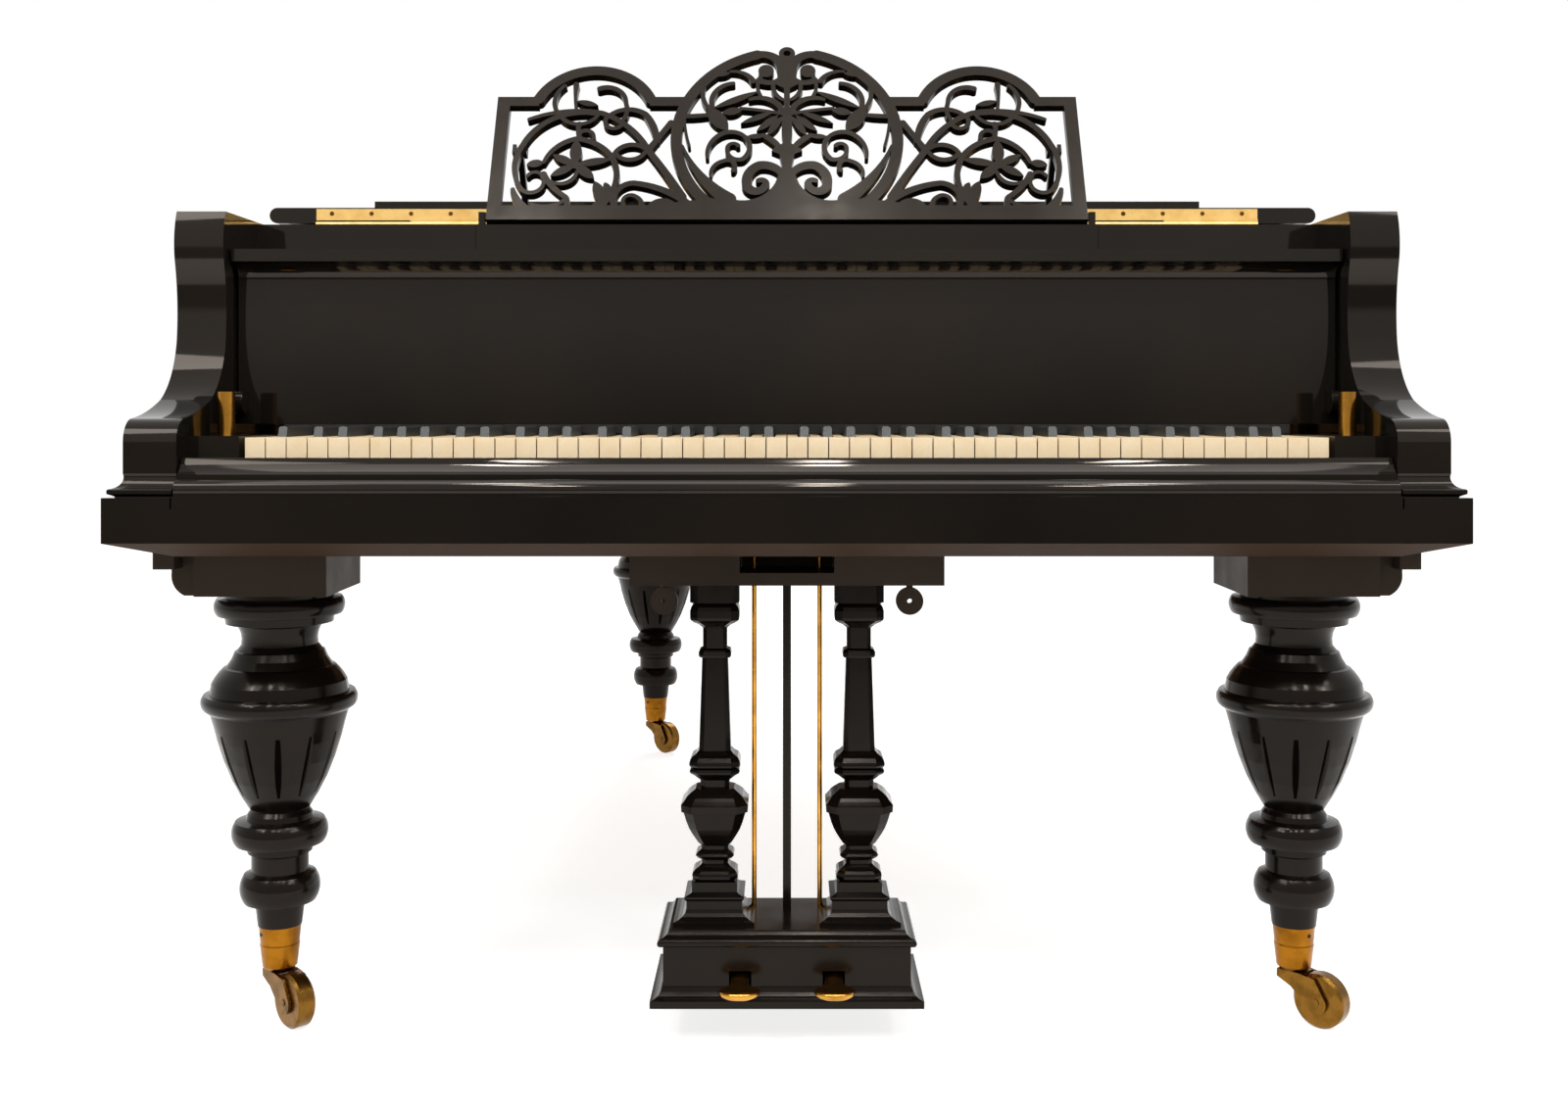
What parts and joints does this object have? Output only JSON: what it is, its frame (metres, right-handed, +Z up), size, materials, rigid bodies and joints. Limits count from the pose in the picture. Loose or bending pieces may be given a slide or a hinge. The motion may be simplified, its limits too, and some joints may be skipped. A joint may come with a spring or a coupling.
{
  "type": "grand piano",
  "caption": "Black grand piano with a pierced fretwork music desk, turned fluted legs on castors, a pedal lyre, folding lid, fallboard and a strung iron plate inside.",
  "frame": {"origin": "on the floor, under the middle of the instrument's box", "axes": "+Z up, +Y from the keyboard to the tail, +X to the treble side"},
  "size_m": [1.5, 2.03, 1.2274],
  "materials": {
    "ebonised_wood": "polished black lacquer",
    "brass": "polished",
    "beech": "bare",
    "spruce": "varnished",
    "bronzed_iron": "bronze paint",
    "steel_wire": "drawn",
    "hammer_felt": "felted",
    "damper_wood": "satin",
    "ebony": "satin",
    "ivory": "polished"
  },
  "bodies": {
    "case": {"rim": "ebonised_wood", "keybed": "ebonised_wood", "keyslip": "ebonised_wood", "arm_left": "ebonised_wood", "arm_right": "ebonised_wood", "plinths": "ebonised_wood", "key_blocks": "ebonised_wood", "shelf_sides": "ebonised_wood", "legs": "ebonised_wood", "leg_blocks": "ebonised_wood", "lyre_block": "ebonised_wood", "lyre_columns": "ebonised_wood", "pedal_box": "ebonised_wood", "fallboard_rests": "brass", "lid_hinge_case_leaves": "brass", "castor_cups": "brass", "inner_rim": "beech", "back_braces": "beech", "wrest_plank": "beech", "bridges": "beech", "soundboard": "spruce", "iron_plate": "bronzed_iron", "strings": "steel_wire", "tuning_pins": "steel_wire"},
    "action": {"action_frame": "beech", "hammers": "hammer_felt"},
    "dampers": {"dampers": "damper_wood"},
    "fallboard": {"fallboard": "ebonised_wood"},
    "lid": {"lid": "ebonised_wood", "lid_hinge_lid_leaves": "brass", "flap_hinge_lid_leaf": "brass"},
    "lid_flap": {"lid_flap": "ebonised_wood", "flap_hinge_flap_leaf": "brass"},
    "lid_prop": {"lid_prop": "ebonised_wood"},
    "music_tray": {"music_tray": "ebonised_wood"},
    "music_desk": {"music_desk": "ebonised_wood"},
    "desk_struts": {"desk_struts": "ebonised_wood"},
    "keys_c": {"keys_c": "ivory"},
    "keys_c_sharp": {"keys_c_sharp": "ebony"},
    "keys_d": {"keys_d": "ivory"},
    "keys_d_sharp": {"keys_d_sharp": "ebony"},
    "keys_e": {"keys_e": "ivory"},
    "keys_f": {"keys_f": "ivory"},
    "keys_f_sharp": {"keys_f_sharp": "ebony"},
    "keys_g": {"keys_g": "ivory"},
    "keys_g_sharp": {"keys_g_sharp": "ebony"},
    "keys_a": {"keys_a": "ivory"},
    "keys_a_sharp": {"keys_a_sharp": "ebony"},
    "keys_b": {"keys_b": "ivory"},
    "pedal_left": {"pedal_left": "brass"},
    "pedal_rod_left": {"pedal_rod_left": "brass"},
    "pedal_right": {"pedal_right": "brass"},
    "pedal_rod_right": {"pedal_rod_right": "brass"},
    "castor_horn_front_left": {"castor_horn_front_left": "brass"},
    "castor_wheel_front_left": {"castor_wheel_front_left": "brass"},
    "castor_horn_front_right": {"castor_horn_front_right": "brass"},
    "castor_wheel_front_right": {"castor_wheel_front_right": "brass"},
    "castor_horn_rear": {"castor_horn_rear": "brass"},
    "castor_wheel_rear": {"castor_wheel_rear": "brass"}
  },
  "joints": [
    {"name": "lid_open", "type": "hinge", "parent": "case", "child": "lid", "pos_m": [-0.739, 0, 0.97425], "axis": [0, -1, 0], "range_deg": [0, 33]},
    {"name": "flap_fold", "type": "hinge", "parent": "lid", "child": "lid_flap", "pos_m": [0, -0.4785, 0.998], "axis": [1, 0, 0], "range_deg": [0, 75]},
    {"name": "prop_rise", "type": "hinge", "parent": "case", "child": "lid_prop", "pos_m": [0.15, 0.47, 0.8625], "axis": [-0.8712, -0.4909, 0], "range_deg": [0, 57]},
    {"name": "fallboard_close", "type": "hinge", "parent": "case", "child": "fallboard", "pos_m": [0, -0.807, 0.745], "axis": [1, 0, 0], "range_deg": [0, 90]},
    {"name": "tray_slide", "type": "slide", "parent": "case", "child": "music_tray", "axis": [0, -1, 0], "range_m": [0, 0.08]},
    {"name": "desk_tilt", "type": "hinge", "parent": "music_tray", "child": "music_desk", "pos_m": [0, -0.702, 0.98], "axis": [1, 0, 0], "range_deg": [-20, 20]},
    {"name": "strut_follow", "type": "hinge", "parent": "music_desk", "child": "desk_struts", "pos_m": [0, -0.63653, 1.07544], "axis": [1, 0, 0], "range_deg": [-41, 41]},
    {"name": "action_shift", "type": "slide", "parent": "case", "child": "action", "axis": [1, 0, 0], "range_m": [0, 0.0026]},
    {"name": "damper_lift", "type": "slide", "parent": "case", "child": "dampers", "axis": [0, 0, 1], "range_m": [0, 0.0082]},
    {"name": "key_c_dip", "type": "hinge", "parent": "action", "child": "keys_c", "pos_m": [0, -0.725, 0.68], "axis": [1, 0, 0], "range_deg": [0, 2.6], "stiffness_Nm_per_rad": 12, "springref_deg": -3.44},
    {"name": "key_c_sharp_dip", "type": "hinge", "parent": "action", "child": "keys_c_sharp", "pos_m": [0, -0.725, 0.68], "axis": [1, 0, 0], "range_deg": [0, 2.6], "stiffness_Nm_per_rad": 12, "springref_deg": -3.44},
    {"name": "key_d_dip", "type": "hinge", "parent": "action", "child": "keys_d", "pos_m": [0, -0.725, 0.68], "axis": [1, 0, 0], "range_deg": [0, 2.6], "stiffness_Nm_per_rad": 12, "springref_deg": -3.44},
    {"name": "key_d_sharp_dip", "type": "hinge", "parent": "action", "child": "keys_d_sharp", "pos_m": [0, -0.725, 0.68], "axis": [1, 0, 0], "range_deg": [0, 2.6], "stiffness_Nm_per_rad": 12, "springref_deg": -3.44},
    {"name": "key_e_dip", "type": "hinge", "parent": "action", "child": "keys_e", "pos_m": [0, -0.725, 0.68], "axis": [1, 0, 0], "range_deg": [0, 2.6], "stiffness_Nm_per_rad": 12, "springref_deg": -3.44},
    {"name": "key_f_dip", "type": "hinge", "parent": "action", "child": "keys_f", "pos_m": [0, -0.725, 0.68], "axis": [1, 0, 0], "range_deg": [0, 2.6], "stiffness_Nm_per_rad": 12, "springref_deg": -3.44},
    {"name": "key_f_sharp_dip", "type": "hinge", "parent": "action", "child": "keys_f_sharp", "pos_m": [0, -0.725, 0.68], "axis": [1, 0, 0], "range_deg": [0, 2.6], "stiffness_Nm_per_rad": 12, "springref_deg": -3.44},
    {"name": "key_g_dip", "type": "hinge", "parent": "action", "child": "keys_g", "pos_m": [0, -0.725, 0.68], "axis": [1, 0, 0], "range_deg": [0, 2.6], "stiffness_Nm_per_rad": 12, "springref_deg": -3.44},
    {"name": "key_g_sharp_dip", "type": "hinge", "parent": "action", "child": "keys_g_sharp", "pos_m": [0, -0.725, 0.68], "axis": [1, 0, 0], "range_deg": [0, 2.6], "stiffness_Nm_per_rad": 12, "springref_deg": -3.44},
    {"name": "key_a_dip", "type": "hinge", "parent": "action", "child": "keys_a", "pos_m": [0, -0.725, 0.68], "axis": [1, 0, 0], "range_deg": [0, 2.6], "stiffness_Nm_per_rad": 12, "springref_deg": -3.44},
    {"name": "key_a_sharp_dip", "type": "hinge", "parent": "action", "child": "keys_a_sharp", "pos_m": [0, -0.725, 0.68], "axis": [1, 0, 0], "range_deg": [0, 2.6], "stiffness_Nm_per_rad": 12, "springref_deg": -3.44},
    {"name": "key_b_dip", "type": "hinge", "parent": "action", "child": "keys_b", "pos_m": [0, -0.725, 0.68], "axis": [1, 0, 0], "range_deg": [0, 2.6], "stiffness_Nm_per_rad": 12, "springref_deg": -3.44},
    {"name": "pedal_left_press", "type": "hinge", "parent": "case", "child": "pedal_left", "pos_m": [-0.0545, -0.85, 0.072], "axis": [1, 0, 0], "range_deg": [0, 8], "stiffness_Nm_per_rad": 8, "springref_deg": -8.59},
    {"name": "rod_left_lift", "type": "slide", "parent": "case", "child": "pedal_rod_left", "axis": [0, 0, 1], "range_m": [0, 0.0076]},
    {"name": "pedal_right_press", "type": "hinge", "parent": "case", "child": "pedal_right", "pos_m": [0.0545, -0.85, 0.072], "axis": [1, 0, 0], "range_deg": [0, 8], "stiffness_Nm_per_rad": 8, "springref_deg": -8.59},
    {"name": "rod_right_lift", "type": "slide", "parent": "case", "child": "pedal_rod_right", "axis": [0, 0, 1], "range_m": [0, 0.0076]},
    {"name": "castor_front_left_swivel", "type": "hinge", "parent": "case", "child": "castor_horn_front_left", "pos_m": [-0.612, -0.825, 0.05], "axis": [0, 0, 1], "continuous": true},
    {"name": "castor_front_left_roll", "type": "hinge", "parent": "castor_horn_front_left", "child": "castor_wheel_front_left", "pos_m": [-0.58654, -0.85046, 0.032], "axis": [0.7071, 0.7071, 0], "continuous": true},
    {"name": "castor_front_right_swivel", "type": "hinge", "parent": "case", "child": "castor_horn_front_right", "pos_m": [0.612, -0.825, 0.05], "axis": [0, 0, 1], "continuous": true},
    {"name": "castor_front_right_roll", "type": "hinge", "parent": "castor_horn_front_right", "child": "castor_wheel_front_right", "pos_m": [0.63746, -0.85046, 0.032], "axis": [0.7071, 0.7071, 0], "continuous": true},
    {"name": "castor_rear_swivel", "type": "hinge", "parent": "case", "child": "castor_horn_rear", "pos_m": [-0.283, 0.745, 0.05], "axis": [0, 0, 1], "continuous": true},
    {"name": "castor_rear_roll", "type": "hinge", "parent": "castor_horn_rear", "child": "castor_wheel_rear", "pos_m": [-0.25754, 0.71954, 0.032], "axis": [0.7071, 0.7071, 0], "continuous": true}
  ],
  "couplings": [
    {"joint": "prop_rise", "follows": "lid_open", "ratio": 1.69},
    {"joint": "strut_follow", "follows": "desk_tilt", "ratio": -2},
    {"joint": "rod_left_lift", "follows": "pedal_left_press", "m_per_rad": 0.0535},
    {"joint": "rod_right_lift", "follows": "pedal_right_press", "m_per_rad": 0.0535},
    {"joint": "action_shift", "follows": "pedal_left_press", "m_per_rad": 0.0179},
    {"joint": "damper_lift", "follows": "pedal_right_press", "m_per_rad": 0.0573}
  ]
}
